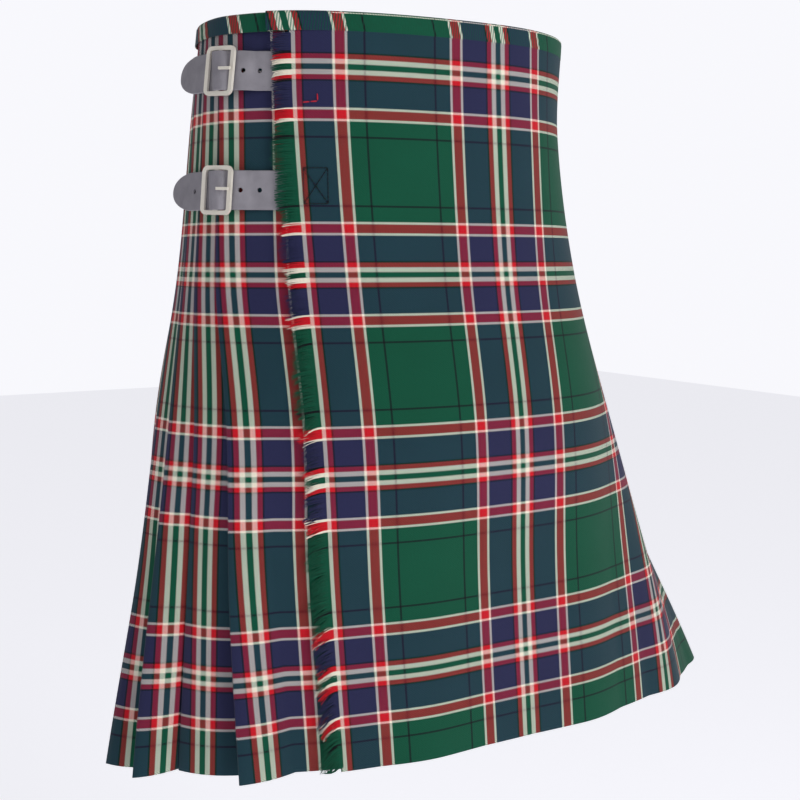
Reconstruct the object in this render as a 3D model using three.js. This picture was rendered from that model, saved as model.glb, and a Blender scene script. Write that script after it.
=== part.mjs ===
// A Scottish kilt in the hollow shape that it keeps when it is worn, with nobody in it.
// Millimetres, +Z up. The wearer would face -Y, so the wearer's right hip, with two straps, is at -X.
// The origin is inside the waist opening, level with the middle of the upper strap.
//
// Every piece is placed by three numbers: the height z, the distance w round the body (0 at the
// front line, negative to the wearer's right) and how far it stands out from the body.
import * as THREE from "three";

// Cloth
const WALL = 1; // one thickness of worsted
const GAP = 0.3; // clearance between two pieces
const LAYER = WALL + GAP; // from one layer of cloth to the next
const OVER_OUT = 5; // the over-apron's inner face, clear of the under-apron and the strap roots

// Heights
const TOP = 42;
const CLOTH_TOP = TOP - LAYER; // the waistband is folded over this edge
const BAND_FOOT = 27;
const FELL_FOOT = -170; // the pleats are sewn flat above this and hang free below
const SLIT_FOOT = -130; // above this the inverted pleat's inner cloth is cut away
const HEM = -542;
const LEVELS = [CLOTH_TOP, BAND_FOOT - 1, -50, -110, FELL_FOOT, -250, -340, -440, HEM];

// The body under the cloth: two half ovals that meet on the front line, which lies FRONT_X to
// the wearer's left of the origin. right, left, front and back are their half widths and depths;
// drift is how far the apron's middle stripe hangs to the wearer's left of the front line.
const FRONT_X = 42;
const FRONT_POWER = 2.3;
const BACK_POWER = 2.2;
const SECTIONS = [
  { z: 42, right: 195, left: 115, front: 98, back: 104, drift: 8 },
  { z: -39, right: 204, left: 109, front: 103, back: 112, drift: 7 },
  { z: -157, right: 216, left: 131, front: 108, back: 134, drift: 12 },
  { z: -277, right: 239, left: 164, front: 131, back: 152, drift: 13 },
  { z: -404, right: 256, left: 218, front: 128, back: 162, drift: 19 },
  { z: HEM, right: 285, left: 288, front: 134, back: 172, drift: 24 },
];

// Aprons: distances from the middle stripe, except the left edges, which are distances w
const FRINGE_EDGE = -186;
const WOVEN_EDGE = -170;
const UNDER_SEAM = -160; // the under-apron joins the first pleat here, out of sight
const APRON_LEFT = { top: 182, hem: 322 };
const UNDER_LEFT = { top: 152, hem: 262 };
const EDGE_POWER = 1.35; // the left edges and the last fold lean away faster towards the hem
const APRON_COLUMNS = 22;
const APRON_RISE = [0, 1.3, 2.6, 2.6]; // its last columns ride up over the strap and the last fold
const FRINGE_THICK = 1.5;

// Knife pleats, counted from the wearer's right hip round the back. Each laps over the next.
const PLEATS = 23;
const FIRST_FOLD = { top: -219, fell: -227, hem: -222 };
const LAST_FOLD = { top: 174, hem: 312 };
const RETURN_INSET = 2; // the cloth under the over-apron's left edge stops this short of it
const RETURN_DEPTH = 33; // and is turned back this far further in
const FOLD_OUT = 3; // a sewn-down fold's inner layer, above the body
const SLIT_END = 0.08; // a fold's outer and inner layers part at this share of its width
const ROOT_SINK = 4; // how much deeper a pleat comes out, and its inner fold lies, at the hem
const INNER_SINK = 3;
const OPEN_POWER = 1.4; // how soon the pleats open on the way down
// How each fold hangs at the hem: swing moves it round the body, stand moves it out from it, and
// sink moves the place where it comes out from under the fold in front of it further in.
const FREE_FOLDS = [
  { swing: 0, stand: 12, sink: 0 },
  { swing: -12, stand: -10, sink: 0 },
  { swing: 6, stand: 16, sink: 0 },
  { swing: 16, stand: 14, sink: 2 },
];
const HELD_FOLDS = 8; // the last folds lie flatter and flatter towards the over-apron
const HIDDEN_FOLDS = [
  { swing: 10, stand: -10, sink: 0 },
  { swing: -3, stand: 2, sink: 6 },
  { swing: 5, stand: 12, sink: 2 },
  { swing: -6, stand: 4, sink: 0 },
  { swing: 2, stand: 9, sink: 5 },
];

// Straps and buckles: along is measured from the buckle's middle bar towards the strap's root
const LEATHER = 2;
const STRAP_WIDTH = 30;
const STRAP_TIP_LENGTH = 26;
const TIP_STOPS = [0.015, 0.06, 0.14, 0.26, 0.42, 0.62, 0.82]; // shares of the rounded tip
const STRAP_STEP = 6;
const STRAP_PATH = [
  { along: -56, out: 13 },
  { along: -40, out: 8 },
  { along: -24, out: 6.6 },
  { along: -8.4, out: 6.6 },
  { along: -3.8, out: 12 },
  { along: 3.8, out: 12 },
  { along: 8.4, out: 6.6 },
  { along: 16, out: 6.6 },
  { along: 20, out: 4.6 },
];
const STRAP_DIP = 4; // it drops this quickly to the level at which it is sewn on
const SEWN_OUT = 2;
const STRAP_TIP = STRAP_PATH[0].along;
const STRAP_ROOT = 74;
const TAB_THICK = 1.5;
const TAB_WIDTH = 24;
const TAB_PATH = [
  { along: -38, out: 4.7 },
  { along: -7.6, out: 4.7 },
  { along: -3, out: 7 },
  { along: 3, out: 7 },
];
const FRAME = {
  width: 29, height: 37.5, corner: 5, inside: 1.5, side: 3.6, end: 3.2, thick: 2.2, out: 9.2,
};
const MIDDLE_BAR = 2.2;
const PRONG = { from: 3, to: 14.5, wide: 2.2, thick: 1.2, root: 14.5, tip: 13.5 };
// side is -1 on the wearer's right and 1 on the left; z is the strap's middle at its root,
// which rises by rise on the way to its tip; lap is how far it runs level under the apron's edge
const FASTENINGS = [
  { name: "upper", side: -1, w: -214, z: -4, rise: 4, tilt: 3, lap: 1 },
  { name: "lower", side: -1, w: -219, z: -93, rise: 1, tilt: 2, lap: 1 },
  { name: "left", side: 1, w: 219, z: -4, rise: 0, tilt: 0, lap: 24 },
];

const material = (name, color, roughness, metalness = 0) =>
  new THREE.MeshStandardMaterial({ name, color, roughness, metalness });

const mix = (a, b, t) => a + (b - a) * t;
const clamp01 = (t) => Math.min(1, Math.max(0, t));
const downFrom = (top, foot, z) => clamp01((top - z) / (top - foot));
const openness = (z) => downFrom(FELL_FOOT, HEM, z) ** OPEN_POWER;
const leaning = ({ top, hem }, z) => mix(top, hem, downFrom(TOP, HEM, z) ** EDGE_POWER);

// A smooth curve through one column of SECTIONS, as a Catmull-Rom spline in z.
function column(name, z) {
  const last = SECTIONS.length - 1;
  let i = 0;
  while (i < last - 1 && z < SECTIONS[i + 1].z) i++;
  const [a, b, c, d] = [i - 1, i, i + 1, i + 2].map((n) => SECTIONS[Math.min(last, Math.max(0, n))]);
  const slope = (p, q) => (p === q ? 0 : (q[name] - p[name]) / (q.z - p.z));
  const step = c.z - b.z;
  const t = (z - b.z) / step;
  const start = slope(a, c) * step;
  const end = slope(b, d) * step;
  const [t2, t3] = [t * t, t * t * t];
  return (
    (2 * t3 - 3 * t2 + 1) * b[name] + (t3 - 2 * t2 + t) * start +
    (3 * t2 - 2 * t3) * c[name] + (t3 - t2) * end
  );
}

// The body's outline at height z: points every degree and their distance w round it.
const RING_STEPS = 360;
const rings = new Map();
function ringAt(z) {
  if (rings.has(z)) return rings.get(z);
  const [right, left, front, back] = ["right", "left", "front", "back"].map((n) => column(n, z));
  const points = [];
  const w = [0];
  for (let i = 0; i <= RING_STEPS; i++) {
    const angle = (i / RING_STEPS - 0.5) * 2 * Math.PI;
    const [s, c] = [Math.sin(angle), Math.cos(angle)];
    const power = 2 / (c > 0 ? FRONT_POWER : BACK_POWER);
    const x = (s > 0 ? left : right) * Math.sign(s) * Math.abs(s) ** power;
    const y = -(c > 0 ? front : back) * Math.sign(c) * Math.abs(c) ** power;
    points.push(new THREE.Vector2(FRONT_X + x, y));
    if (i) w.push(w[i - 1] + points[i].distanceTo(points[i - 1]));
  }
  const girth = w[RING_STEPS];
  const middle = w[RING_STEPS / 2];
  const ring = { points, girth, w: w.map((d) => d - middle) };
  rings.set(z, ring);
  return ring;
}

// The point of the body's outline at distance w, which may run on past the middle of the back.
function onRing(z, w) {
  const ring = ringAt(z);
  const start = ring.w[0];
  const d = start + THREE.MathUtils.euclideanModulo(w - start, ring.girth);
  let [low, high] = [0, RING_STEPS];
  while (high - low > 1) {
    const mid = (low + high) >> 1;
    if (ring.w[mid] <= d) low = mid;
    else high = mid;
  }
  const t = (d - ring.w[low]) / (ring.w[high] - ring.w[low]);
  return ring.points[low].clone().lerp(ring.points[high], t);
}

const NORMAL_REACH = 6; // the outline's direction is taken over this distance on each side
function offRing(z, w, out) {
  const p = onRing(z, w);
  const along = onRing(z, w + NORMAL_REACH).sub(onRing(z, w - NORMAL_REACH)).normalize();
  return new THREE.Vector3(p.x + along.y * out, p.y - along.x * out, z);
}

// A point on or off the body. Between two LEVELS it runs straight, as the cloth does, so that
// what lies on the cloth follows it.
function place(z, w, out) {
  let i = 0;
  while (i < LEVELS.length - 2 && z < LEVELS[i + 1]) i++;
  const t = (LEVELS[i] - z) / (LEVELS[i] - LEVELS[i + 1]);
  return offRing(LEVELS[i], w, out).lerp(offRing(LEVELS[i + 1], w, out), t);
}

// A closed solid through loops of points, each with the same count. flats are the same loops in
// the plane in which their two end caps are filled.
function sweep(name, loops, flats, look) {
  const count = loops[0].length;
  const index = [];
  for (let i = 0; i + 1 < loops.length; i++) {
    for (let j = 0; j < count; j++) {
      const [a, b] = [i * count + j, i * count + ((j + 1) % count)];
      const [p, q] = [loops[i][j], loops[i][(j + 1) % count]];
      // Every quad is split the same way up the cloth, so that layers keep their spacing.
      if (p.x * q.y > p.y * q.x) index.push(a, b, b + count, a, b + count, a + count);
      else index.push(a, b, a + count, b, b + count, a + count);
    }
  }
  for (const end of [0, loops.length - 1]) {
    const flat = flats[end];
    const turn = Math.sign(THREE.ShapeUtils.area(flat)) * (end ? 1 : -1);
    for (const [a, b, c] of THREE.ShapeUtils.triangulateShape(flat, [])) {
      const same = Math.sign(THREE.ShapeUtils.area([flat[a], flat[b], flat[c]])) === turn;
      const base = end * count;
      index.push(base + a, base + (same ? b : c), base + (same ? c : b));
    }
  }
  const points = loops.flat();
  let volume = 0;
  for (let i = 0; i < index.length; i += 3) {
    const [a, b, c] = [0, 1, 2].map((n) => points[index[i + n]]);
    volume += a.dot(new THREE.Vector3().crossVectors(b, c));
  }
  if (volume < 0) index.reverse();
  const geometry = new THREE.BufferGeometry().setFromPoints(points).setIndex(index);
  geometry.computeVertexNormals();
  const mesh = new THREE.Mesh(geometry, look);
  mesh.name = name;
  return mesh;
}

// Cloth that runs from top to foot: outlineAt(z) gives its closed section as [w, out] pairs.
function hanging(name, levels, outlineAt, look) {
  const loops = levels.map((z) => outlineAt(z).map(([w, out]) => place(z, w, out)));
  const flats = loops.map((loop) => loop.map((p) => new THREE.Vector2(p.x, p.y)));
  return sweep(name, loops, flats, look);
}

// A strip that runs round the body: profileAt(w) gives its closed section as [out, z] pairs.
function strip(name, stationsAt, profileAt, look) {
  const loops = [];
  const flats = [];
  for (let i = 0; i < stationsAt(0).length; i++) {
    const profile = profileAt(i);
    loops.push(profile.map(([out, z]) => place(z, stationsAt(z)[i], out)));
    flats.push(profile.map(([out, z]) => new THREE.Vector2(out, z)));
  }
  return sweep(name, loops, flats, look);
}

const spread = (from, to, steps) => Array.from({ length: steps + 1 }, (_, i) => mix(from, to, i / steps));

// A sheet's section: its inner face one way and its outer face back.
const sheet = (stations, outAt, thick) => [
  ...stations.map((w, i) => [w, outAt(i)]),
  ...stations.map((w, i) => [w, outAt(i) + thick]).reverse(),
];

// ---- Aprons

const overStations = (z) =>
  spread(WOVEN_EDGE + column("drift", z), leaning(APRON_LEFT, z), APRON_COLUMNS);
const overOut = (i) => OVER_OUT + (APRON_RISE[i - (APRON_COLUMNS - APRON_RISE.length + 1)] || 0);
const underStations = (z) =>
  spread(UNDER_SEAM + GAP + column("drift", z), leaning(UNDER_LEFT, z), APRON_COLUMNS);
const fringeStations = (z) => {
  const drift = column("drift", z);
  return [FRINGE_EDGE + drift, WOVEN_EDGE - GAP + drift];
};

// ---- Pleats

// The folded edge of pleat k at height z. Pleat -1 stands for the place, a pleat's width in
// front of the first fold, from which the first pleat starts to rise.
function foldAt(k, z) {
  const first =
    z > FELL_FOOT
      ? mix(FIRST_FOLD.top, FIRST_FOLD.fell, downFrom(TOP, FELL_FOOT, z))
      : mix(FIRST_FOLD.fell, FIRST_FOLD.hem, downFrom(FELL_FOOT, HEM, z));
  const last = leaning(LAST_FOLD, z) - ringAt(z).girth;
  const pitch = (first - last) / (PLEATS - 1);
  if (k < 0) return { w: first + pitch, out: FOLD_OUT, sink: 0 };
  const free =
    k < FREE_FOLDS.length ? FREE_FOLDS[k] : HIDDEN_FOLDS[(k - FREE_FOLDS.length) % HIDDEN_FOLDS.length];
  const loose = openness(z) * clamp01((PLEATS - 1 - k) / HELD_FOLDS);
  return {
    w: first - k * pitch + free.swing * loose,
    out: FOLD_OUT + free.stand * loose,
    sink: free.sink * loose,
  };
}

// Where pleat k comes out from under the fold in front of it.
function rootAt(k, z) {
  const front = foldAt(k - 1, z);
  const sunk = Math.max(0, front.out - FOLD_OUT) + ROOT_SINK * openness(z) + foldAt(k, z).sink;
  return { w: front.w, out: front.out - 2 * LAYER - sunk };
}

// The inner fold between pleat k - 1 and pleat k, one pleat's width further in.
function innerFoldAt(k, z) {
  if (k === 0) return { w: UNDER_SEAM + column("drift", z), out: 0 };
  const out = Math.min(rootAt(k, z).out, rootAt(k - 1, z).out) - 2 * LAYER;
  return { w: foldAt(k - 2, z).w, out: out - INNER_SINK * openness(z) };
}

function pleatOutline(k, z) {
  const [tip, root] = [foldAt(k, z), rootAt(k, z)];
  const [inner, next] = [innerFoldAt(k, z), innerFoldAt(k + 1, z)];
  const half = (a, b) => ({ w: mix(a.w, b.w, 0.5), out: mix(a.out, b.out, 0.5) });
  const face = [inner, half(inner, root), root, half(root, tip), tip];
  const turned = [{ w: tip.w, out: tip.out - LAYER }, { w: next.w, out: next.out + LAYER }];
  const fold = [turned[0], half(turned[0], turned[1]), turned[1]];
  const slitEnd = { w: mix(tip.w, root.w, SLIT_END), out: mix(tip.out, root.out, SLIT_END) };
  return [
    ...face.map((p) => [p.w, p.out + WALL]),
    ...fold.map((p) => [p.w, p.out]),
    ...fold.slice(1).reverse().map((p) => [p.w, p.out + WALL]),
    [slitEnd.w, slitEnd.out - GAP / 2],
    ...face.slice(0, -1).reverse().map((p) => [p.w, p.out]),
  ];
}

// The cloth between the over-apron's left edge and the last pleat: turned back under the apron,
// then led behind the last fold.
function invertedOutline(z) {
  const stations = overStations(z);
  const edge = stations[APRON_COLUMNS] - RETURN_INSET;
  const turn = edge - RETURN_DEPTH;
  const behind = { w: turn, out: FOLD_OUT - LAYER };
  const [inner, root] = [innerFoldAt(PLEATS, z), rootAt(PLEATS, z)];
  const halfway = { w: mix(inner.w, root.w, 0.5), out: mix(inner.out, root.out, 0.5) };
  const edgeOut = overOut(APRON_COLUMNS) - LAYER - GAP;
  return [
    [inner.w, inner.out],
    [halfway.w, halfway.out],
    [root.w, root.out],
    [behind.w, behind.out],
    [behind.w, behind.out + LAYER + WALL],
    [edge, edgeOut + WALL],
    [edge, edgeOut],
    [behind.w + WALL, behind.out + WALL + GAP / 2],
    [root.w, root.out + WALL],
    [halfway.w, halfway.out + WALL],
    [inner.w, inner.out + WALL],
  ];
}

// ---- Waistbands: a strip of cloth folded over the top edge, so its section is an upturned U

const BAND_EASE = 0.6; // room between the band and the cloth in it
function bandProfile(low, high) {
  const [inner, outer] = [low - BAND_EASE, high + BAND_EASE];
  return [
    [inner - WALL, BAND_FOOT],
    [inner - WALL, TOP],
    [outer + WALL, TOP],
    [outer + WALL, BAND_FOOT],
    [outer, BAND_FOOT],
    [outer, TOP - WALL],
    [inner, TOP - WALL],
    [inner, BAND_FOOT],
  ];
}

// The sewn pleats' layers at each station that their band passes.
function pleatBandLayers(z) {
  const face = [innerFoldAt(0, z), rootAt(0, z)];
  for (let k = 0; k < PLEATS; k++) face.push(foldAt(k, z));
  const layers = face.map(({ w, out }, i) => ({
    w, high: out + WALL, low: i ? FOLD_OUT - 4 * LAYER : out,
  }));
  const halfway = (a, b) => ({
    w: mix(a.w, b.w, 0.5),
    high: Math.max(mix(a.high, b.high, 0.5), a.high),
    low: Math.max(a.low, b.low),
  });
  return layers.flatMap((here, i) => (i ? [halfway(layers[i - 1], here), here] : [here]));
}

// ---- Straps and buckles

function pathOut(path, along) {
  let i = 0;
  while (i < path.length - 2 && along > path[i + 1].along) i++;
  const [a, b] = [path[i], path[i + 1]];
  return mix(a.out, b.out, (along - a.along) / (b.along - a.along));
}

const strapMiddle = ({ z, rise }, along) => z + (rise * (STRAP_ROOT - along)) / (STRAP_ROOT - STRAP_TIP);

// A strap's whole path, with the stretch that lies under the apron's edge.
const strapPath = ({ lap }) => {
  const level = STRAP_PATH[STRAP_PATH.length - 1];
  const end = level.along + lap;
  return [
    ...STRAP_PATH,
    { along: end, out: level.out },
    { along: end + STRAP_DIP, out: SEWN_OUT },
    { along: STRAP_ROOT, out: SEWN_OUT },
  ];
};

// Leather that follows a path round the body, with its tip rounded over tipLength.
function leather(name, fastening, path, width, thick, tipLength, look) {
  const [first, last] = [path[0].along, path[path.length - 1].along];
  const stops = new Set(path.map((p) => p.along));
  if (tipLength) TIP_STOPS.forEach((t) => stops.add(first + t * tipLength));
  for (let a = first + tipLength; a < last; a += STRAP_STEP) stops.add(a);
  if (tipLength) stops.delete(first);
  const along = [...stops].sort((a, b) => a - b);
  const half = (a) => (width / 2) * Math.sqrt(1 - (1 - clamp01((a - first) / (tipLength || 1))) ** 2);
  const middle = (a) => strapMiddle(fastening, a);
  const profileAt = (i) => {
    const a = along[i];
    const reach = tipLength ? half(a) : width / 2;
    const out = pathOut(path, a);
    return [
      [out, middle(a) - reach],
      [out, middle(a) + reach],
      [out + thick, middle(a) + reach],
      [out + thick, middle(a) - reach],
    ];
  };
  return strip(name, () => along.map((a) => fastening.w - fastening.side * a), profileAt, look);
}

// Stands a shape, drawn with x towards the wearer's left and y up, on the body's surface.
function standOn(mesh, name, fastening, out) {
  const { side, w, tilt } = fastening;
  const z = strapMiddle(fastening, 0);
  const across = place(z, w + NORMAL_REACH, out).sub(place(z, w - NORMAL_REACH, out)).normalize();
  const up = place(z + NORMAL_REACH, w, out).sub(place(z - NORMAL_REACH, w, out)).normalize();
  const outward = new THREE.Vector3().crossVectors(across, up).normalize();
  up.crossVectors(outward, across);
  mesh.quaternion.setFromRotationMatrix(new THREE.Matrix4().makeBasis(across, up, outward));
  mesh.rotateZ(side * THREE.MathUtils.degToRad(tilt));
  mesh.position.copy(place(z, w, out));
  mesh.name = name;
  return mesh;
}

function roundedBox(centre, width, height, corner, path) {
  const [left, right] = [centre - width / 2 + corner, centre + width / 2 - corner];
  const y = height / 2 - corner;
  path.absarc(right, -y, corner, -Math.PI / 2, 0);
  path.absarc(right, y, corner, 0, Math.PI / 2);
  path.absarc(left, y, corner, Math.PI / 2, Math.PI);
  path.absarc(left, -y, corner, Math.PI, Math.PI * 1.5);
  return path;
}

function buckleFrame(fastening, look) {
  const { width, height, corner, inside, side, end, thick, out } = FRAME;
  const shape = roundedBox(0, width, height, corner, new THREE.Shape());
  const windowWidth = (width - MIDDLE_BAR) / 2 - side;
  for (const way of [-1, 1]) {
    const centre = (way * (windowWidth + MIDDLE_BAR)) / 2;
    shape.holes.push(roundedBox(centre, windowWidth, height - 2 * end, inside, new THREE.Path()));
  }
  const extrusion = { depth: thick, bevelEnabled: false, curveSegments: 5 };
  const geometry = new THREE.ExtrudeGeometry(shape, extrusion);
  return standOn(new THREE.Mesh(geometry, look), `buckle_${fastening.name}_frame`, fastening, out);
}

function buckleProng(fastening, look) {
  const { from, to, wide, thick, root, tip } = PRONG;
  const way = -fastening.side;
  const shape = new THREE.Shape();
  shape.moveTo(way * from, root);
  shape.lineTo(way * to, tip);
  shape.lineTo(way * to, tip + thick);
  shape.lineTo(way * from, root + thick);
  const geometry = new THREE.ExtrudeGeometry(shape, { depth: wide, bevelEnabled: false });
  geometry.rotateX(Math.PI / 2).translate(0, wide / 2, 0);
  return standOn(new THREE.Mesh(geometry, look), `buckle_${fastening.name}_prong`, fastening, 0);
}

// ---- The kilt

const green = material("tartan_apron", 0x14503c, 0.9);
const navy = material("tartan_pleats", 0x213a40, 0.9);
const frayed = material("frayed_weft", 0xa02030, 0.95);
const bound = material("tartan_band", 0x0b5042, 0.9);
const hide = material("strap_leather", 0x5a5659, 0.55);
const metal = material("buckle_metal", 0xd9cfb8, 0.3, 1);

const kilt = new THREE.Group();

kilt.add(hanging("over_apron", LEVELS, (z) => sheet(overStations(z), overOut, WALL), green));
kilt.add(hanging("under_apron", LEVELS, (z) => sheet(underStations(z), () => 0, WALL), green));
const fringeLevels = LEVELS.slice(1);
const fringeAt = (z) => sheet(fringeStations(z), () => OVER_OUT, FRINGE_THICK);
kilt.add(hanging("apron_fringe", fringeLevels, fringeAt, frayed));

for (let k = 0; k < PLEATS; k++) {
  const name = `pleat_${String(k + 1).padStart(2, "0")}`;
  kilt.add(hanging(name, LEVELS, (z) => pleatOutline(k, z), navy));
}
const openLevels = [SLIT_FOOT, ...LEVELS.filter((z) => z < SLIT_FOOT)];
kilt.add(hanging("inverted_pleat", openLevels, invertedOutline, navy));

const overBandStations = (z) => [fringeStations(z)[0], ...overStations(z)];
const overBandProfile = (i) => bandProfile(overOut(i - 1), overOut(i - 1) + WALL);
kilt.add(strip("waistband_over_apron", overBandStations, overBandProfile, bound));
kilt.add(strip("waistband_under_apron", underStations, () => bandProfile(0, WALL), bound));
kilt.add(strip("waistband_pleats", (z) => pleatBandLayers(z).map((p) => p.w), (i) => {
  const { low, high } = pleatBandLayers(CLOTH_TOP)[i];
  return bandProfile(low, high);
}, bound));

for (const f of FASTENINGS) {
  kilt.add(leather(`strap_${f.name}`, f, strapPath(f), STRAP_WIDTH, LEATHER, STRAP_TIP_LENGTH, hide));
  kilt.add(leather(`buckle_${f.name}_tab`, f, TAB_PATH, TAB_WIDTH, TAB_THICK, 0, hide));
  kilt.add(buckleFrame(f, metal));
  kilt.add(buckleProng(f, metal));
}

export default kilt;
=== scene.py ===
# %% [markdown]
# # A Scottish kilt, empty, in the shape it is worn in
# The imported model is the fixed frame: every piece made here lies where its solid lies.
# The camera comes first, so that every later cell can be judged from one place.

# %% Load the frame and set up the camera
import bpy, math, random
import numpy as np
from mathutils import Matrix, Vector


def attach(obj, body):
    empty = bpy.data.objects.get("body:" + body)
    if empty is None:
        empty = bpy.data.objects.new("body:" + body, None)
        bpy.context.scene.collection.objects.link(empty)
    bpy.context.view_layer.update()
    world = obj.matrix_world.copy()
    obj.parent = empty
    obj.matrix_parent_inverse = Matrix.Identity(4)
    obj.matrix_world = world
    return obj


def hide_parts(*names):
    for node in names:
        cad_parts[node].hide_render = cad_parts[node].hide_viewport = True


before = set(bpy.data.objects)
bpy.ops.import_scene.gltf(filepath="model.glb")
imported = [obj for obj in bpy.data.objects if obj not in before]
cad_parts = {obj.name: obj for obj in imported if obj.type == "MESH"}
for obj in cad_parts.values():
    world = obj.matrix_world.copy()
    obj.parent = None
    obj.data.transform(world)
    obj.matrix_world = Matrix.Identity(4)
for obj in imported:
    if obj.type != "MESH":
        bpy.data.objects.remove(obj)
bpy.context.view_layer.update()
bpy.ops.object.select_all(action="DESELECT")
MM = 0.001

bpy.ops.object.camera_add(location=(-0.499, -0.913, -0.145),
                          rotation=(math.radians(90 - 6.81), 0, math.radians(-29.62)))
camera = bpy.context.object
camera.data.lens = 53.1
camera.data.sensor_width = 36
bpy.context.scene.camera = camera
bpy.context.scene.view_settings.view_transform = "Standard"
print("frame:", len(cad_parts), "solids")

# %% [markdown]
# ## The body under the cloth
# A kilt has no shape of its own: it takes the wearer's. The body is two half ovals at each height,
# blended smoothly between six measured sections. Any point of the kilt is then three numbers:
# its height, how far round the body it is (0 at the front, negative to the wearer's right), and
# how far it stands out. Working this way keeps every layer in step with the one beneath.

# %% Sizes, in millimetres
WALL, GAP, LAYER = 1.0, 0.3, 1.3
OVER_OUT, FOLD_OUT = 5.0, 3.0
TOP, CLOTH_TOP, BAND_FOOT = 42.0, 40.7, 27.0
FELL_FOOT, SLIT_FOOT, HEM = -170.0, -130.0, -542.0
FRONT_X, FRONT_POWER, BACK_POWER = 42.0, 2.3, 2.2
SECTIONS = {
    "z": (42, -39, -157, -277, -404, HEM),
    "right": (195, 204, 216, 239, 256, 285),
    "left": (115, 109, 131, 164, 218, 288),
    "front": (98, 103, 108, 131, 128, 134),
    "back": (104, 112, 134, 152, 162, 172),
    "drift": (8, 7, 12, 13, 19, 24),
}
ROWS = 60
HEIGHTS = np.linspace(CLOTH_TOP, HEM, ROWS)


# %% A point on the body
def column(name, z):
    """One column of the sections, as a smooth curve in z."""
    zs, values = SECTIONS["z"], SECTIONS[name]
    i = 0
    while i < len(zs) - 2 and z < zs[i + 1]:
        i += 1
    near = [min(len(zs) - 1, max(0, n)) for n in (i - 1, i, i + 1, i + 2)]
    step = zs[near[2]] - zs[near[1]]
    t = (z - zs[near[1]]) / step

    def slope(p, q):
        return 0 if p == q else (values[q] - values[p]) / (zs[q] - zs[p]) * step

    a, b = values[near[1]], values[near[2]]
    return ((2 * t**3 - 3 * t**2 + 1) * a + (t**3 - 2 * t**2 + t) * slope(near[0], near[2])
            + (3 * t**2 - 2 * t**3) * b + (t**3 - t**2) * slope(near[1], near[3]))


RINGS = {}


def ring(z):
    """The body's outline at one height: x, y and the distance round it."""
    if z not in RINGS:
        angle = np.linspace(-math.pi, math.pi, 721)
        s, c = np.sin(angle), np.cos(angle)
        power = np.where(c > 0, 2 / FRONT_POWER, 2 / BACK_POWER)
        x = FRONT_X + np.where(s > 0, column("left", z), column("right", z)) * np.sign(s) * abs(s) ** power
        y = -np.where(c > 0, column("front", z), column("back", z)) * np.sign(c) * abs(c) ** power
        w = np.concatenate([[0], np.cumsum(np.hypot(np.diff(x), np.diff(y)))])
        RINGS[z] = (x, y, w - w[len(w) // 2])
    return RINGS[z]


def girth(z):
    w = ring(z)[2]
    return w[-1] - w[0]


def place(z, w, out):
    """Points in metres, for one height and arrays of distance round the body and distance out."""
    x, y, along = ring(float(z))
    w = np.asarray(w, float)

    def at(d):
        d = (d - along[0]) % (along[-1] - along[0]) + along[0]
        return np.interp(d, along, x), np.interp(d, along, y)

    (px, py), (ax, ay), (bx, by) = at(w), at(w + 6), at(w - 6)
    dx, dy = ax - bx, ay - by
    size = np.hypot(dx, dy)
    out = np.broadcast_to(out, w.shape)
    return np.stack([px + dy / size * out, py - dx / size * out, np.full(w.shape, float(z))], -1) * MM


print(f"waist {girth(TOP):.0f} mm, hem {girth(HEM):.0f} mm")

# %% [markdown]
# ## The tartan
# A tartan is one list of stripes, used for the warp (up and down) and again for the weft
# (round), and mirrored about two of its stripes. Where a colour crosses itself it is solid, and
# where it crosses another they mix thread by thread in a 2/2 twill. Each sheet's UV map holds
# real distances on the flat cloth, so one node group weaves them all, and the checks stay true
# when the cloth is folded.

# %% Stripes and colours
HALF_SETT = 81.0
WARP_EASE = 1.058  # the warp's repeat is this much longer than the weft's
THREAD = 0.5
TWILL_CONTRAST = 0.5


def linear(*rgb):
    return tuple(((c / 255 + 0.055) / 1.055) ** 2.4 if c > 10 else c / 255 / 12.92 for c in rgb) + (1,)


# The fourth number is how strongly a dye shows where it crosses another in the twill.
DYES = {
    "green": linear(3, 80, 56)[:3] + (1.0,), "navy": linear(38, 40, 76)[:3] + (1.5,),
    "red": linear(206, 20, 36)[:3] + (1.3,), "white": linear(240, 232, 214)[:3] + (2.2,),
    "black": linear(6, 14, 20)[:3] + (2.0,),
}
STRIPES = [
    (0, "green"), (1.9, "white"), (5.8, "red"), (9.5, "black"), (11, "navy"), (31.2, "white"),
    (33.2, "red"), (40, "white"), (42, "green"), (53.4, "black"), (55, "green"),
]


class Wiring:
    """Short words for adding and joining shader nodes."""

    def __init__(self, tree):
        self.tree = tree

    def add(self, kind, **settings):
        node = self.tree.nodes.new(kind)
        for key, value in settings.items():
            setattr(node, key, value)
        return node

    def put(self, socket, value):
        if isinstance(value, bpy.types.NodeSocket):
            self.tree.links.new(value, socket)
        else:
            socket.default_value = value

    def math(self, operation, a, b=0.0):
        node = self.add("ShaderNodeMath", operation=operation)
        self.put(node.inputs[0], a)
        self.put(node.inputs[1], b)
        return node.outputs[0]

    def mix(self, factor, a, b, blend="MIX"):
        node = self.add("ShaderNodeMix", data_type="RGBA", blend_type=blend)
        self.put(node.inputs[0], factor)
        self.put(node.inputs[6], a)
        self.put(node.inputs[7], b)
        return node.outputs[2]

    def noise(self, vector, scale, detail=3.0):
        node = self.add("ShaderNodeTexNoise")
        self.put(node.inputs["Vector"], vector)
        node.inputs["Scale"].default_value = scale
        node.inputs["Detail"].default_value = detail
        return node.outputs[0]


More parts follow.
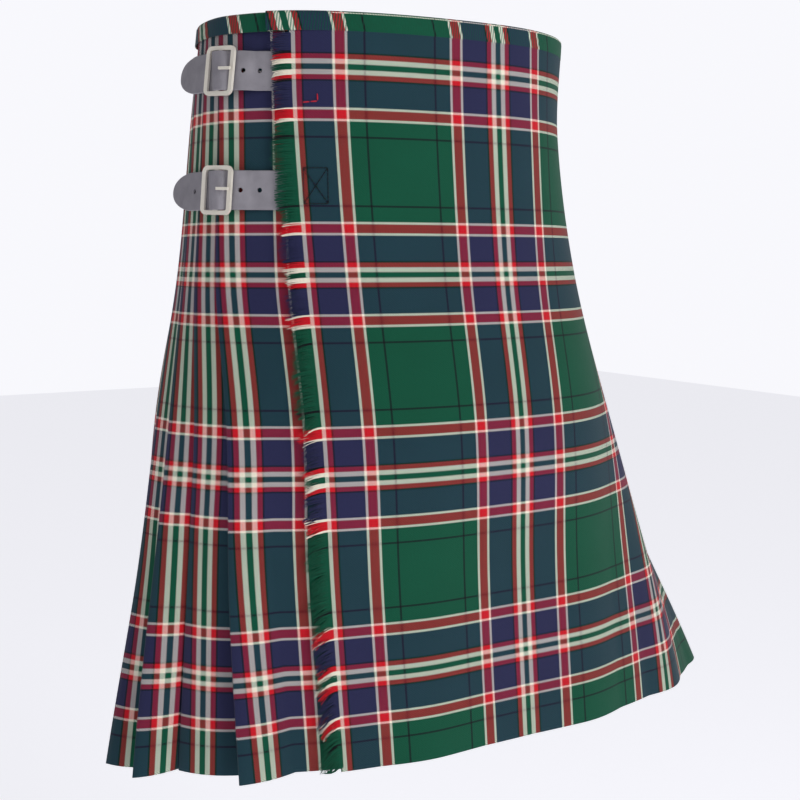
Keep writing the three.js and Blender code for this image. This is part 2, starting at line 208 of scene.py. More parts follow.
def new_group(name, inputs, outputs):
    group = bpy.data.node_groups.new(name, "ShaderNodeTree")
    for socket, kind in inputs:
        group.interface.new_socket(socket, in_out="INPUT", socket_type=kind)
    for socket, kind in outputs:
        group.interface.new_socket(socket, in_out="OUTPUT", socket_type=kind)
    wires = Wiring(group)
    return group, wires, wires.add("NodeGroupInput"), wires.add("NodeGroupOutput")


# %% The stripes as a node group
def make_stripes():
    group, wires, given, made = new_group(
        "stripes", [("Distance", "NodeSocketFloat")],
        [("Color", "NodeSocketColor"), ("Strength", "NodeSocketFloat")])
    folded = wires.math("PINGPONG", given.outputs["Distance"], HALF_SETT)
    ramp = wires.add("ShaderNodeValToRGB")
    ramp.color_ramp.interpolation = "CONSTANT"
    elements = ramp.color_ramp.elements
    while len(elements) > 1:
        elements.remove(elements[-1])
    elements[0].position, elements[0].color = 0, DYES[STRIPES[0][1]]
    for start, dye in STRIPES[1:]:
        elements.new(start / HALF_SETT).color = DYES[dye]
    wires.put(ramp.inputs[0], wires.math("DIVIDE", folded, HALF_SETT))
    wires.put(made.inputs["Color"], ramp.outputs[0])
    wires.put(made.inputs["Strength"], ramp.outputs[1])
    return group


STRIPE_GROUP = make_stripes()


# %% The weave as a node group
def make_weave():
    group, wires, given, made = new_group(
        "twill_weave", [("Cloth", "NodeSocketVector"), ("Weft only", "NodeSocketFloat")],
        [("Color", "NodeSocketColor"), ("Height", "NodeSocketFloat"), ("Rough", "NodeSocketFloat")])
    cloth = given.outputs["Cloth"]
    parts = wires.add("ShaderNodeSeparateXYZ")
    wires.put(parts.inputs[0], cloth)
    ways, strengths, threads = [], [], []
    for axis in (0, 1):
        distance = wires.math("MULTIPLY", parts.outputs[axis], 1000.0)
        stripe = wires.add("ShaderNodeGroup", node_tree=STRIPE_GROUP)
        wires.put(stripe.inputs[0], distance)
        ways.append(stripe.outputs[0])
        strengths.append(stripe.outputs[1])
        threads.append(wires.math("FLOOR", wires.math("DIVIDE", distance, THREAD)))
    step = wires.math("FLOORED_MODULO", wires.math("SUBTRACT", threads[0], threads[1]), 4.0)
    weft_up = wires.math("LESS_THAN", step, 2.0)
    share = wires.math("DIVIDE", strengths[1], wires.math("ADD", strengths[0], strengths[1]))
    lean = wires.math("MULTIPLY", wires.math("SUBTRACT", weft_up, 0.5), TWILL_CONTRAST)
    share = wires.math("MINIMUM", wires.math("MAXIMUM", wires.math("ADD", share, lean), 0.0), 1.0)
    share = wires.math("MAXIMUM", share, given.outputs["Weft only"])
    roots = []
    for way in ways:
        root = wires.add("ShaderNodeGamma")
        root.inputs["Gamma"].default_value = 1 / 2.2
        wires.put(root.inputs["Color"], way)
        roots.append(root.outputs[0])
    blend = wires.add("ShaderNodeGamma")
    blend.inputs["Gamma"].default_value = 2.2
    wires.put(blend.inputs["Color"], wires.mix(share, roots[0], roots[1]))
    woven = blend.outputs[0]
    slub = wires.noise(cloth, 700.0, 2.0)
    cloud = wires.noise(cloth, 22.0, 3.0)
    shade = wires.math("ADD", wires.math("MULTIPLY", slub, 0.34), wires.math("MULTIPLY", cloud, 0.22))
    grey = wires.add("ShaderNodeCombineColor")
    for channel in range(3):
        wires.put(grey.inputs[channel], wires.math("ADD", shade, 0.72))
    wires.put(made.inputs["Color"], wires.mix(1.0, woven, grey.outputs[0], "MULTIPLY"))
    wires.put(made.inputs["Height"], wires.math("ADD", wires.math("MULTIPLY", weft_up, 0.35), slub))
    wires.put(made.inputs["Rough"], wires.math("ADD", wires.math("MULTIPLY", slub, 0.16), 0.74))
    return group


WEAVE = make_weave()


# %% Cloth materials
def cloth_material(name, weft_only=0.0, bump=0.35):
    material = bpy.data.materials.new(name)
    material.use_nodes = True
    tree = material.node_tree
    shader = tree.nodes["Principled BSDF"]
    shader.inputs["Sheen Weight"].default_value = 0.12
    shader.inputs["Sheen Roughness"].default_value = 0.5
    shader.inputs["Specular IOR Level"].default_value = 0.18
    wires = Wiring(tree)
    uv = wires.add("ShaderNodeUVMap", uv_map="cloth")
    weave = wires.add("ShaderNodeGroup", node_tree=WEAVE)
    wires.put(weave.inputs["Cloth"], uv.outputs[0])
    weave.inputs["Weft only"].default_value = weft_only
    wires.put(shader.inputs["Base Color"], weave.outputs["Color"])
    wires.put(shader.inputs["Roughness"], weave.outputs["Rough"])
    rough = wires.add("ShaderNodeBump")
    rough.inputs["Strength"].default_value = bump
    rough.inputs["Distance"].default_value = 0.0004
    wires.put(rough.inputs["Height"], weave.outputs["Height"])
    wires.put(shader.inputs["Normal"], rough.outputs[0])
    return material


TARTAN = cloth_material("worsted_tartan")
FRAYED = cloth_material("frayed_weft_yarn", weft_only=1.0, bump=0.2)
print("stripes in half a repeat:", len(STRIPES))

# %% [markdown]
# ## Making a sheet of cloth
# Cloth is a grid of points with a UV map of real distances, given a thickness at the end.
# It is written as a grid rather than pulled out of a primitive because each row follows the
# body's outline, and because the pleats fold back over themselves many times.

# %% Grid to cloth
WEFT_Z = (41.9, 0, -35.6, -121.9, -157.2, -192.1, -276.7, -311.9, -347.3, -433, -468.1, -502.9, HEM)
WEFT_V = (-43, 0, 36.6, 125.4, 162, 198.6, 287.4, 324, 360.6, 449.4, 486, 522.6, 563.5)


def weft_at(z):
    """How far down the flat cloth a height is, from the first white and green line."""
    return float(np.interp(-z, [-h for h in WEFT_Z], WEFT_V))


def finish_piece(piece, replaced):
    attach(piece, "root")
    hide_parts(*replaced)


def apply_all(piece):
    bpy.ops.object.select_all(action="DESELECT")
    piece.select_set(True)
    bpy.context.view_layer.objects.active = piece
    for modifier in list(piece.modifiers):
        bpy.ops.object.modifier_apply(modifier=modifier.name)


def cloth(name, points, left_u, right_u, v, material, thick=0.8):
    """points[row][column]; u at each face's two sides, and v at each point's row."""
    rows, columns = points.shape[:2]
    faces, uvs = [], []
    for r in range(rows - 1):
        for c in range(columns - 1):
            a = r * columns + c
            faces.append((a, a + columns, a + columns + 1, a + 1))
            uvs += [(left_u[r][c], v[r][c]), (left_u[r + 1][c], v[r + 1][c]),
                    (right_u[r + 1][c], v[r + 1][c + 1]), (right_u[r][c], v[r][c + 1])]
    mesh = bpy.data.meshes.new(name)
    mesh.from_pydata(points.reshape(-1, 3).tolist(), [], faces)
    layer = mesh.uv_layers.new(name="cloth")
    layer.data.foreach_set("uv", (np.array(uvs) * MM).ravel())
    mesh.materials.append(material)
    piece = bpy.data.objects.new(name, mesh)
    bpy.context.scene.collection.objects.link(piece)
    shell = piece.modifiers.new("thickness", "SOLIDIFY")
    shell.thickness, shell.offset = thick * MM, 0
    apply_all(piece)
    bpy.ops.object.shade_smooth_by_angle(angle=math.radians(60))
    return piece


def area_of(points):
    """One side's area in square metres."""
    a = points[1:, :-1] - points[:-1, :-1]
    b = points[:-1, 1:] - points[:-1, :-1]
    return float(np.linalg.norm(np.cross(a, b), axis=-1).sum())


def hanging(name, heights, section, warp, replaced, material=TARTAN):
    """A sheet whose section(z) gives its distances round and out, and warp(z, w) its stripes."""
    sections = [section(z) for z in heights]
    points = np.array([place(z, w, out) for z, (w, out) in zip(heights, sections)])
    u = np.array([warp(z, w) for z, (w, out) in zip(heights, sections)])
    v = np.array([np.full(len(w), weft_at(z)) for z, (w, out) in zip(heights, sections)])
    piece = cloth(name, points, u[:, :-1], u[:, 1:], v, material)
    finish_piece(piece, replaced)
    return piece


# %% [markdown]
# ## The two aprons
# The flat front is two layers. The over-apron opens on the wearer's right; its stripes hang
# straight down, so the UV map takes the drift of the hanging cloth out again. Soft ridges and
# troughs grow towards the hem on the wearer's left, where the cloth swings clear.

# %% Edges and creases of the aprons
FRINGE_EDGE, WOVEN_EDGE, UNDER_SEAM = -186.0, -170.0, -160.0
APRON_LEFT, UNDER_LEFT, LAST_FOLD = (182, 322), (152, 262), (174, 312)
EDGE_POWER = 1.35
RISE_AT, RISE = (19 / 22, 20 / 22, 21 / 22), (0, 1.3, 2.6)
# middle at the waist and at the hem, half width, height at the hem, where it starts
CREASES = [
    (-118, -128, 20, -2.2, -150), (-58, -72, 26, 2.4, -210), (6, 2, 34, -2.6, -260),
    (64, 92, 30, 3.4, -200), (98, 152, 26, -4.2, -170), (126, 206, 26, 5.2, -150),
    (140, 252, 20, -4.6, -190), (164, 292, 18, 4.0, -230),
]


def down_from(top, foot, z):
    return min(1.0, max(0.0, (top - z) / (top - foot)))


def leaning(edge, z):
    return edge[0] + (edge[1] - edge[0]) * down_from(TOP, HEM, z) ** EDGE_POWER


def crease_at(z, w):
    out = np.zeros_like(w)
    for waist, hem, half, high, start in CREASES:
        t = down_from(start, HEM, z)
        middle = waist + (hem - waist) * down_from(TOP, HEM, z)
        out = out + high * t ** 1.3 * np.exp(-((w - middle) / half) ** 2)
    return np.maximum(out, -2.5 - 6 * down_from(FELL_FOOT, HEM, z))


def stripes_on_apron(z, w):
    return (w - column("drift", z)) / WARP_EASE + 2 * HALF_SETT


def over_section(z):
    share = np.linspace(0, 1, 110)
    start = WOVEN_EDGE + column("drift", z)
    w = start + (leaning(APRON_LEFT, z) - start) * share
    held = np.clip(share / 0.1, 0, 1)
    return w, OVER_OUT + 0.5 + np.interp(share, RISE_AT, RISE) + np.maximum(0, crease_at(z, w) + 1.5) * held


def under_section(z):
    start = UNDER_SEAM + GAP + column("drift", z)
    w = np.linspace(start, leaning(UNDER_LEFT, z), 60)
    return w, np.full(len(w), 0.5)


# %% Over-apron and under-apron
hanging("over_apron_cloth", HEIGHTS, over_section, stripes_on_apron,
        ["over_apron"])
hanging("under_apron_cloth", HEIGHTS, under_section, stripes_on_apron,
        ["under_apron"])

# %% [markdown]
# ## The knife pleats
# The rest of the length is folded into pleats that lap over each other towards the back, sewn
# down to the hip and free below. It is one sheet here, as it is on the table: each pleat goes
# from its hidden inner fold out to its edge and back under the next. Every pleat shows the same
# stripe beside its edge, which is called pleating to the stripe.

# %% Where the folds lie
PLEATS = 23
FIRST_FOLD = (-219, -227, -222)
OPEN_POWER, ROOT_SINK, INNER_SINK, HELD_FOLDS = 1.4, 4.0, 3.0, 8
# how each hangs at the hem: round the body, out from it, and how deep it starts
FREE_FOLDS = [(0, 12, 0), (-12, -10, 0), (6, 16, 0), (16, 14, 2)]
HIDDEN_FOLDS = [(10, -10, 0), (-3, 2, 6), (5, 12, 2), (-6, 4, 0), (2, 9, 5)]
STRIPE_Z, STRIPE_BACK = (542, 350, 170, -42), (22, 15, 15, 10)


def openness(z):
    return down_from(FELL_FOOT, HEM, z) ** OPEN_POWER


def fold_at(k, z):
    """The folded edge of pleat k: distance round, distance out, and how deep the pleat starts."""
    top, fell, hem = FIRST_FOLD
    if z > FELL_FOOT:
        first = top + (fell - top) * down_from(TOP, FELL_FOOT, z)
    else:
        first = fell + (hem - fell) * down_from(FELL_FOOT, HEM, z)
    pitch = (first - (leaning(LAST_FOLD, z) - girth(z))) / (PLEATS - 1)
    if k < 0:
        return first + pitch, FOLD_OUT, 0.0
    swing, stand, sink = FREE_FOLDS[k] if k < 4 else HIDDEN_FOLDS[(k - 4) % 5]
    loose = openness(z) * min(1.0, max(0.0, (PLEATS - 1 - k) / HELD_FOLDS))
    return first - k * pitch + swing * loose, FOLD_OUT + stand * loose, sink * loose


def root_at(k, z):
    w, out, _ = fold_at(k - 1, z)
    return w, out - 2 * LAYER - max(0.0, out - FOLD_OUT) - ROOT_SINK * openness(z) - fold_at(k, z)[2]


def inner_at(k, z):
    if k == 0:
        return UNDER_SEAM + column("drift", z), 0.0
    out = min(root_at(k, z)[1], root_at(k - 1, z)[1]) - 2 * LAYER
    return fold_at(k - 2, z)[0], out - INNER_SINK * openness(z)


# %% One pleat's section
HALF_LAYER = LAYER / 2
TURN = (0.25, 0.5, 0.75)


def pleat_section(k, z):
    """Middle of the cloth through pleat k, and the warp distance of each point from its stripe."""
    inner, root, tip, after = inner_at(k, z), root_at(k, z), fold_at(k, z), inner_at(k + 1, z)
    opened = openness(z)
    points = []
    for t in np.linspace(0, 1, 4)[:-1]:
        points.append((inner[0] + (root[0] - inner[0]) * t, inner[1] + (root[1] - inner[1]) * t + 0.5))
    for t in np.linspace(0, 1, 9):
        bow = 2.2 * opened * math.sin(math.pi * t)
        points.append((root[0] + (tip[0] - root[0]) * t, root[1] + (tip[1] - root[1]) * t + 0.5 + bow))
    edge = len(points)
    for t in TURN:
        a = math.pi * t
        across, rise = HALF_LAYER * math.sin(a), HALF_LAYER * math.cos(a)
        points.append((tip[0] - across, tip[1] + 0.5 - HALF_LAYER + rise))
    low, high = tip[1] + 0.5 - LAYER, after[1] + 0.5 + LAYER
    for t in np.linspace(0, 1, 7):
        points.append((tip[0] + (after[0] - tip[0]) * t, low + (high - low) * t))
    for t in TURN:
        a = math.pi * t
        across, rise = HALF_LAYER * math.sin(a), HALF_LAYER * math.cos(a)
        points.append((after[0] + across, after[1] + 0.5 + HALF_LAYER + rise))
    points.append((after[0], after[1] + 0.5))
    line = np.array(points)
    length = np.concatenate([[0], np.cumsum(np.hypot(*np.diff(line, axis=0).T))])
    back = np.interp(-z, STRIPE_Z[::-1], STRIPE_BACK[::-1])
    return line, (length[edge] - length - back) / WARP_EASE


# %% All the pleats as one sheet
def make_pleats():
    points, left_u, right_u = [], [], []
    for z in HEIGHTS:
        row, left, right = [], [], []
        for k in range(PLEATS):
            line, u = pleat_section(k, z)
            row.append(line if k == 0 else line[1:])
            left.append(u[:-1])
            right.append(u[1:])
        row = np.concatenate(row)
        points.append(place(z, row[:, 0], row[:, 1]))
        left_u.append(np.concatenate(left))
        right_u.append(np.concatenate(right))
    points = np.array(points)
    v = np.repeat([[weft_at(z)] for z in HEIGHTS], points.shape[1], axis=1)
    piece = cloth("pleated_cloth", points, np.array(left_u), np.array(right_u), v, TARTAN)
    finish_piece(piece, [f"pleat_{k + 1:02d}" for k in range(PLEATS)])
    return piece


make_pleats()

# %% [markdown]
# ## The inverted pleat
# At the wearer's left hip the cloth turns back under the over-apron's edge before the first
# knife pleat, so that the apron can swing. Only its edge is ever seen.

# %% Inverted pleat
RETURN_INSET, RETURN_DEPTH = 2.0, 33.0


def inverted_section(z):
    edge = leaning(APRON_LEFT, z) - RETURN_INSET
    turn = edge - RETURN_DEPTH
    inner, root = inner_at(PLEATS, z), root_at(PLEATS, z)
    edge_out = OVER_OUT + RISE[-1] - LAYER - GAP
    corners = np.array([(inner[0] + girth(z), inner[1] + 0.5), (root[0] + girth(z), root[1] + 0.5),
                        (turn, FOLD_OUT - LAYER + 0.5), (turn - 0.6, FOLD_OUT - LAYER + 1.2),
                        (turn, FOLD_OUT + 0.5), (edge, edge_out + 0.5)])
    t = np.linspace(0, len(corners) - 1, 31)
    index = np.arange(len(corners))
    return np.interp(t, index, corners[:, 0]), np.interp(t, index, corners[:, 1])


low_heights = np.linspace(SLIT_FOOT, HEM, 44)
hanging("inverted_pleat_cloth", low_heights, inverted_section, stripes_on_apron,
        ["inverted_pleat"])

# %% [markdown]
# ## The waistband
# A narrow strip of the same cloth, cut on a lean so that it takes the curve, is folded over the
# raw top edge. Its section is an upturned U with a rounded top.

# %% Waistband
BAND_LEAN = 0.6
BAND_EASE = 0.6


def band(name, stations, low, high, replaced, shift):
    """stations: distances round at the top; low and high: the layers it wraps at each one."""
    inner, outer = low - BAND_EASE - 0.5, high + BAND_EASE + 0.5
    middle, reach = (inner + outer) / 2, (outer - inner) / 2
    profile = []
    for t in np.linspace(0, 1, 5):
        profile.append((inner, np.full(len(stations), BAND_FOOT + (TOP - 3 - BAND_FOOT) * t)))
    for a in np.linspace(0, math.pi, 7)[1:-1]:
        profile.append((middle - reach * math.cos(a), np.full(len(stations), TOP - 3 + 2.5 * math.sin(a))))
    for t in np.linspace(1, 0, 5):
        profile.append((outer, np.full(len(stations), BAND_FOOT + (TOP - 3 - BAND_FOOT) * t)))
    points, u, v = [], [], []
    for n, (out, z) in enumerate(profile):
        points.append([place(z[i], np.array([stations[i]]), out[i])[0] for i in range(len(stations))])
        u.append((stations - BAND_LEAN * n) / WARP_EASE + shift)
        v.append(np.full(len(stations), HALF_SETT + 5.0 - n))
    points = np.array(points)
    piece = cloth(name, points, np.array(u)[:, :-1], np.array(u)[:, 1:], np.array(v), TARTAN, thick=0.9)
    finish_piece(piece, replaced)
    print(f"{name}: {len(stations)} stations, {area_of(points) * 1e4:.0f} cm2")


def over_band():
    drift = column("drift", CLOTH_TOP)
    w = np.linspace(FRINGE_EDGE + drift, leaning(APRON_LEFT, CLOTH_TOP), 90)
    start = WOVEN_EDGE + drift
    share = (w - start) / (w[-1] - start)
    out = OVER_OUT + np.interp(share, RISE_AT, RISE)
    band("waistband_front", w, out, out + WALL, ["waistband_over_apron"], 162)


def pleat_band():
    marks, high, low = [], [], []
    for k in range(-1, PLEATS):
        w, out = root_at(0, CLOTH_TOP) if k < 0 else fold_at(k, CLOTH_TOP)[:2]
        marks.append(w)
        high.append(out + WALL + 0.4 * (k % 2))
        low.append(FOLD_OUT - 4 * LAYER)
    w0, out0 = inner_at(0, CLOTH_TOP)
    marks, high, low = [w0] + marks, [out0 + WALL] + high, [out0] + low
    w = np.linspace(marks[0], marks[-1], 150)
    order = np.argsort(marks)
    level = [np.interp(w, np.array(marks)[order], np.array(x)[order]) for x in (low, high)]
    band("waistband_back", w[::-1], level[0][::-1], level[1][::-1], ["waistband_pleats"], 75)


def under_band():
    w = np.linspace(UNDER_SEAM + GAP + column("drift", CLOTH_TOP), leaning(UNDER_LEFT, CLOTH_TOP), 60)
    band("waistband_inside", w, np.zeros(60), np.full(60, WALL),
         ["waistband_under_apron"], 162)


over_band()
pleat_band()
under_band()

# %% [markdown]
# ## The fringe
# The over-apron's free edge is frayed: the warp is drawn out and the weft's ends stand clear, so
# each strand has the pure colour of its own weft line. Each is a thin square strand of four
# short lengths, with its own reach and droop, in clumps of uneven length.

# %% Fringe strands
STRAND_EVERY, STRAND_HALF = 0.62, 0.34
rng = random.Random(7)


def make_fringe():
    verts, faces, uvs = [], [], []
    z = BAND_FOOT - 2
    until, clump, sway = z, 1.0, 0.0
    while z > HEM + 4:
        if z < until:
            until, clump, sway = z - rng.uniform(3, 9), rng.uniform(0.74, 1.06), rng.uniform(-2.5, 2.5)
        t = down_from(TOP, HEM, z)
        reach = (FRINGE_EDGE - WOVEN_EDGE) * clump * rng.uniform(0.82, 1.04)
        droop = (1.5 + 9 * t * t) * rng.uniform(0.6, 1.3) + sway * t
        rise = rng.uniform(-0.2, 1.5)
        start = WOVEN_EDGE + column("drift", z) + 2
        base = len(verts)
        for j in range(5):
            s = j / 4
            h = max(HEM + 0.5, z - droop * s * s)
            thin = STRAND_HALF * (1 - 0.45 * s)
            w = start + (reach - 2) * s
            out = OVER_OUT + 0.5 + rise * math.sin(2.2 * s) + 0.3
            for dz, dout in ((-thin, -thin), (thin, -thin), (thin, thin), (-thin, thin)):
                verts.append(place(h + dz, np.array([w]), out + dout)[0])
        colour = weft_at(z) + rng.uniform(-0.7, 0.7)
        for j in range(4):
            for i in range(4):
                a, b = base + 4 * j + i, base + 4 * j + (i + 1) % 4
                faces.append((a, b, b + 4, a + 4))
                uvs += [(j * 4, colour), (j * 4, colour), (j * 4 + 4, colour), (j * 4 + 4, colour)]
        for ends in ((base + 3, base + 2, base + 1, base), (base + 16, base + 17, base + 18, base + 19)):
            faces.append(ends)
            uvs += [(0, colour)] * 4
        z -= STRAND_EVERY * rng.uniform(0.7, 1.3) / 1.6
    mesh = bpy.data.meshes.new("fringe_strands")
    mesh.from_pydata([tuple(p) for p in verts], [], faces)
    mesh.uv_layers.new(name="cloth").data.foreach_set("uv", (np.array(uvs, float) * MM).ravel())
    mesh.materials.append(FRAYED)
    piece = bpy.data.objects.new("fringe_strands", mesh)
    bpy.context.scene.collection.objects.link(piece)
    apply_all(piece)
    bpy.ops.object.mode_set(mode="EDIT")
    bpy.ops.mesh.select_all(action="SELECT")
    bpy.ops.mesh.normals_make_consistent(inside=False)
    bpy.ops.object.mode_set(mode="OBJECT")
    finish_piece(piece, ["apron_fringe"])
    print("fringe:", len(faces) // 18, "strands")


make_fringe()

# %% [markdown]
# ## Straps
# Two leather straps on the right hip and one on the left pull the kilt to size. Each is swept
# along its path round the hip, humps over the buckle's middle bar, and ends in a rounded tip.
# The punched holes are cut with cylinders, as a punch would.

# %% Leather and metal
def surface(name, colour, rough, metallic, scale, bump, distance, worn):
    material = bpy.data.materials.new(name)
    material.use_nodes = True
    shader = material.node_tree.nodes["Principled BSDF"]
    wires = Wiring(material.node_tree)
    spot = wires.add("ShaderNodeTexCoord").outputs["Object"]
    grain = wires.noise(spot, scale, 6.0)
    wear = wires.noise(spot, scale / 9, 4.0)
    wires.put(shader.inputs["Base Color"], wires.mix(wires.math("MULTIPLY", wear, 0.7), colour, worn))
    wires.put(shader.inputs["Roughness"], wires.math("ADD", wires.math("MULTIPLY", grain, 0.25), rough))
    shader.inputs["Metallic"].default_value = metallic
    relief = wires.add("ShaderNodeBump")
    relief.inputs["Strength"].default_value = bump
    relief.inputs["Distance"].default_value = distance
    wires.put(relief.inputs["Height"], grain)
    wires.put(shader.inputs["Normal"], relief.outputs[0])
    return material


LEATHER = surface("strap_leather_grain", linear(122, 119, 126), 0.34, 0.0, 900.0, 0.35, 0.0005,
                  linear(170, 166, 174))
METAL = surface("buckle_plating", linear(250, 242, 226), 0.22, 0.3, 400.0, 0.1, 0.0002,
                linear(255, 252, 242))
THREAD_DARK = surface("sewing_thread", linear(14, 22, 30), 0.7, 0.0, 1500.0, 0.3, 0.0002,
                      linear(26, 34, 40))
THREAD_RED = surface("tacking_thread", linear(196, 20, 44), 0.7, 0.0, 1500.0, 0.3, 0.0002,
                     linear(225, 50, 70))

# %% Strap paths
STRAP_WIDTH, STRAP_THICK, TIP_LENGTH, STRAP_ROOT = 30.0, 2.0, 26.0, 74.0
# distance along from the bar, distance out: the leather rises over the bar between -3.8 and 3.8
STRAP_PATH = [
    (-56, 13), (-40, 8), (-24, 6.6), (-8.4, 6.6), (-3.8, 12), (3.8, 12), (8.4, 6.6), (16, 6.6), (20, 4.6),
]
STRAP_DIP, SEWN_OUT = 4.0, 2.0
# name, side, w of the bar, height at the root, rise to the tip, lap under the apron, holes along
FASTENINGS = [
    ("upper", -1, -214, -4, 4, 1, (-13, 17.5, 29)),
    ("lower", -1, -219, -93, 1, 1, (-25, 17.5, 31)),
    ("left", 1, 219, -4, 0, 24, (-13, 17.5, 31)),
]


def strap_out(path, along):
    return float(np.interp(along, [p[0] for p in path], [p[1] for p in path]))


def strap_middle(z, rise, along):
    return z + rise * (STRAP_ROOT - along) / (STRAP_ROOT - STRAP_PATH[0][0])


def make_strap(name, side, bar, height, rise, lap, holes):
    end = STRAP_PATH[-1][0] + lap
    path = STRAP_PATH + [(end, STRAP_PATH[-1][1]), (end + STRAP_DIP, SEWN_OUT), (STRAP_ROOT, SEWN_OUT)]
    first = path[0][0]
    along = [first + TIP_LENGTH * (1 - math.cos(t)) for t in np.linspace(0.12, math.pi / 2, 12)]
    along += list(np.arange(first + TIP_LENGTH + 1.5, STRAP_ROOT, 1.5)) + [STRAP_ROOT]
    verts, faces = [], []
    for a in along:
        tip = min(1.0, (a - first) / TIP_LENGTH)
        half = STRAP_WIDTH / 2 * math.sqrt(1 - (1 - tip) ** 2)
        # the path is eased a little, so that the leather bends round the bar
        out = np.mean([strap_out(path, a + d) for d in (-1.2, 0, 1.2)])
        z = strap_middle(height, rise, a)
        soft = min(0.5, half * 0.5)
        for reach, lift in ((-half, soft), (-half, STRAP_THICK - soft), (-half + soft, STRAP_THICK),
                            (0, STRAP_THICK), (half - soft, STRAP_THICK), (half, STRAP_THICK - soft),
                            (half, soft), (half - soft, 0), (0, 0), (-half + soft, 0)):
            verts.append(tuple(place(z + reach, np.array([bar - side * a]), out + lift)[0]))
    for i in range(len(along) - 1):
        for j in range(10):
            a, b = i * 10 + j, i * 10 + (j + 1) % 10
            faces.append((a, b, b + 10, a + 10))
    faces += [tuple(range(9, -1, -1)), tuple(range(len(verts) - 10, len(verts)))]
    mesh = bpy.data.meshes.new(f"strap_{name}_leather")
    mesh.from_pydata(verts, [], faces)
    mesh.materials.append(LEATHER)
    piece = bpy.data.objects.new(f"strap_{name}_leather", mesh)
    bpy.context.scene.collection.objects.link(piece)
    apply_all(piece)
    bpy.ops.object.mode_set(mode="EDIT")
    bpy.ops.mesh.select_all(action="SELECT")
    bpy.ops.mesh.normals_make_consistent(inside=False)
    bpy.ops.object.mode_set(mode="OBJECT")
    for hole in holes:
        z = strap_middle(height, rise, hole)
        w, out = np.array([bar - side * hole]), strap_out(path, hole)
        low, high = Vector(place(z, w, out - 2)[0]), Vector(place(z, w, out + 5)[0])
        bpy.ops.mesh.primitive_cylinder_add(
            vertices=20, radius=1.9 * MM, depth=(high - low).length, location=(low + high) / 2,
            rotation=(high - low).to_track_quat("Z", "Y").to_euler())
        punch = bpy.context.object
        cut = piece.modifiers.new("hole", "BOOLEAN")
        cut.object, cut.solver = punch, "EXACT"
        apply_all(piece)
        bpy.data.objects.remove(punch)
    bpy.ops.object.select_all(action="DESELECT")
    piece.select_set(True)
    bpy.context.view_layer.objects.active = piece
    bpy.ops.object.shade_smooth_by_angle(angle=math.radians(40))
    finish_piece(piece, [f"strap_{name}"])
    print(f"strap {name}: {len(piece.data.polygons)} faces")


for row in FASTENINGS:
    make_strap(*row)

# %% [markdown]
# ## Buckles and tabs
# The frames, prongs and tabs have their right shape already, so their solids stay. Their loose
# triangles are welded and their edges rounded, since a cast frame has no sharp edge.

# %% Finish the buckles
for node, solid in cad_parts.items():
    if not node.startswith("buckle"):
        continue
    leather = node.endswith("_tab")
    solid.data.materials.clear()
    solid.data.materials.append(LEATHER if leather else METAL)
    solid.modifiers.new("weld", "WELD").merge_threshold = 0.00001
    edge = solid.modifiers.new("round", "BEVEL")
    edge.width, edge.segments = (0.35 if leather or node.endswith("prong") else 0.8) * MM, 3
    edge.limit_method, edge.angle_limit = "ANGLE", math.radians(40)
    edge.harden_normals = False
print("buckle solids kept:", sum(n.startswith("buckle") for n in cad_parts))

# %% [markdown]
# ## Stitches
# Dark thread holds the straps through the over-apron in a crossed box, and a red tack marks the
# place of the upper one. Each stitch is a short, thick thread that dips at both ends.

# %% Sew along a line
def sew(name, lines, thread, half, every, material):
    """lines: (z, w) to (z, w) on the over-apron's face."""
    verts, faces = [], []
    for (z0, w0), (z1, w1) in lines:
        count = max(1, round(math.hypot(z1 - z0, w1 - w0) / every))
        for n in range(count):
            base = len(verts)
            for j in range(5):
                t = (n + 0.08 + 0.84 * j / 4) / count
                z, w = z0 + (z1 - z0) * t, w0 + (w1 - w0) * t
                wide = half * (0.6 if j in (0, 4) else 1)
                out = OVER_OUT + WALL + 1.45 + thread * math.sin(math.pi * j / 4)
                size = math.hypot(z1 - z0, w1 - w0)
                nz, nw = (w1 - w0) / size, -(z1 - z0) / size
                for side, lift in ((-1, -0.6), (1, -0.6), (0, 0.25)):
                    across = np.array([w + nw * side * wide])
                    verts.append(tuple(place(z + nz * side * wide, across, out + lift)[0]))
            for j in range(4):
                for i in range(3):
                    a, b = base + 3 * j + i, base + 3 * j + (i + 1) % 3
                    faces.append((a, b, b + 3, a + 3))
            faces += [(base + 2, base + 1, base), (base + 12, base + 13, base + 14)]
    mesh = bpy.data.meshes.new(name)
    mesh.from_pydata(verts, [], faces)
    mesh.materials.append(material)
    piece = bpy.data.objects.new(name, mesh)
    bpy.context.scene.collection.objects.link(piece)
    apply_all(piece)
    bpy.ops.object.mode_set(mode="EDIT")
    bpy.ops.mesh.select_all(action="SELECT")
    bpy.ops.mesh.normals_make_consistent(inside=False)
    bpy.ops.object.mode_set(mode="OBJECT")
    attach(piece, "root")
    print(f"{name}: {len(faces) // 14} stitches")


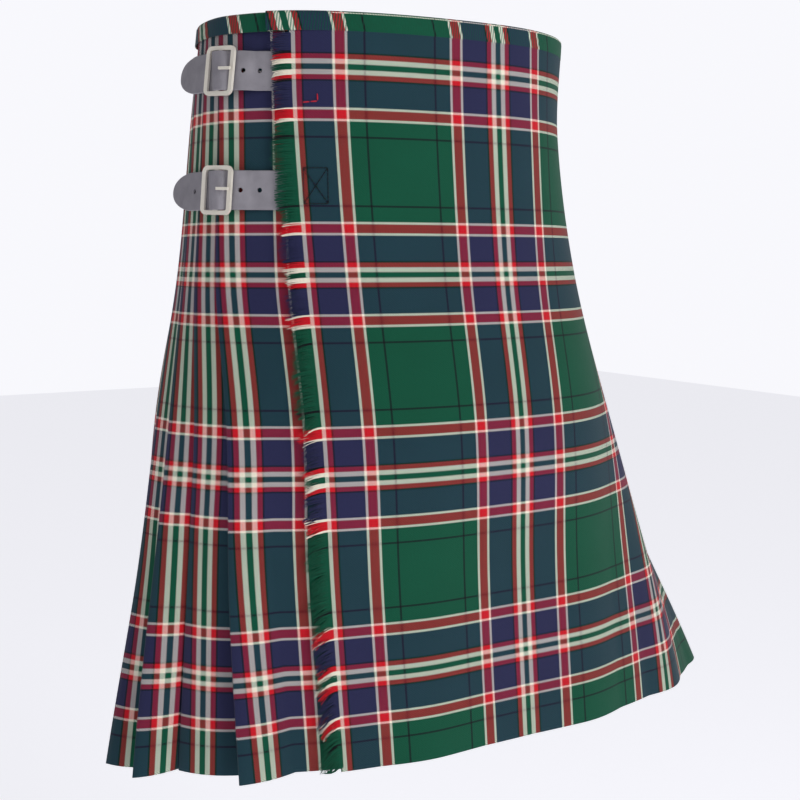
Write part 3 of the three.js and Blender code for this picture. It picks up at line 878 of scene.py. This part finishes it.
BOX_TOP, BOX_FOOT, BOX_FRONT, BOX_BACK = -76, -103, -137, -155
sew("strap_stitching", [
    ((BOX_TOP, BOX_BACK), (BOX_TOP, BOX_FRONT)), ((BOX_TOP, BOX_FRONT), (BOX_FOOT, BOX_FRONT)),
    ((BOX_FOOT, BOX_FRONT), (BOX_FOOT, BOX_BACK)), ((BOX_FOOT, BOX_BACK), (BOX_TOP, BOX_BACK)),
    ((BOX_TOP, BOX_BACK), (BOX_FOOT, BOX_FRONT)), ((BOX_FOOT, BOX_BACK), (BOX_TOP, BOX_FRONT)),
], 0.3, 0.35, 3.2, THREAD_DARK)
sew("red_tack", [
    ((-27, -154), (-26, -143)), ((-26, -143), (-20, -143)),
], 0.4, 0.5, 5.5, THREAD_RED)

# %% [markdown]
# ## Room and light
# A pale floor below, a pale world, a large soft key from the front, a little to the wearer's left,
# and a weaker fill from the wearer's right. The floor glows a little, so that it stays as pale as
# the world, and the world lights the kilt less brightly than it shows behind it.

# %% Floor and lights
PALE = linear(247, 247, 252)
FLOOR_GLOW = 0.62
WORLD_LIGHT = 0.28  # the world's strength on the kilt; straight behind it, it is 1
bpy.ops.mesh.primitive_plane_add(size=14, location=(0, 2, -1.25))
floor = bpy.context.object
floor.name = "floor"
pale = bpy.data.materials.new("pale_floor")
pale.use_nodes = True
floor_shader = pale.node_tree.nodes["Principled BSDF"]
floor_shader.inputs["Base Color"].default_value = PALE
floor_shader.inputs["Roughness"].default_value = 0.9
floor_shader.inputs["Emission Color"].default_value = PALE
floor_shader.inputs["Emission Strength"].default_value = FLOOR_GLOW
floor.data.materials.append(pale)

world = bpy.data.worlds.new("studio")
bpy.context.scene.world = world
world.use_nodes = True
sky = Wiring(world.node_tree)
lit = world.node_tree.nodes["Background"]
lit.inputs[0].default_value = (0.94, 0.94, 0.98, 1)
seen = sky.add("ShaderNodeLightPath").outputs[0]
sky.put(lit.inputs[1], sky.math("ADD", sky.math("MULTIPLY", seen, 1 - WORLD_LIGHT), WORLD_LIGHT))


def lamp(name, place_at, power, size):
    bpy.ops.object.light_add(type="AREA", location=place_at)
    light = bpy.context.object
    light.name = name
    light.data.energy, light.data.size = power, size
    light.rotation_euler = (Vector((0.05, 0, -0.25)) - Vector(place_at)).to_track_quat("-Z", "Y").to_euler()


lamp("key", (0.75, -2.6, 0.9), 34, 1.2)
lamp("fill", (-2.2, -2.0, 0.3), 5, 1.6)
print("lights: key and fill")
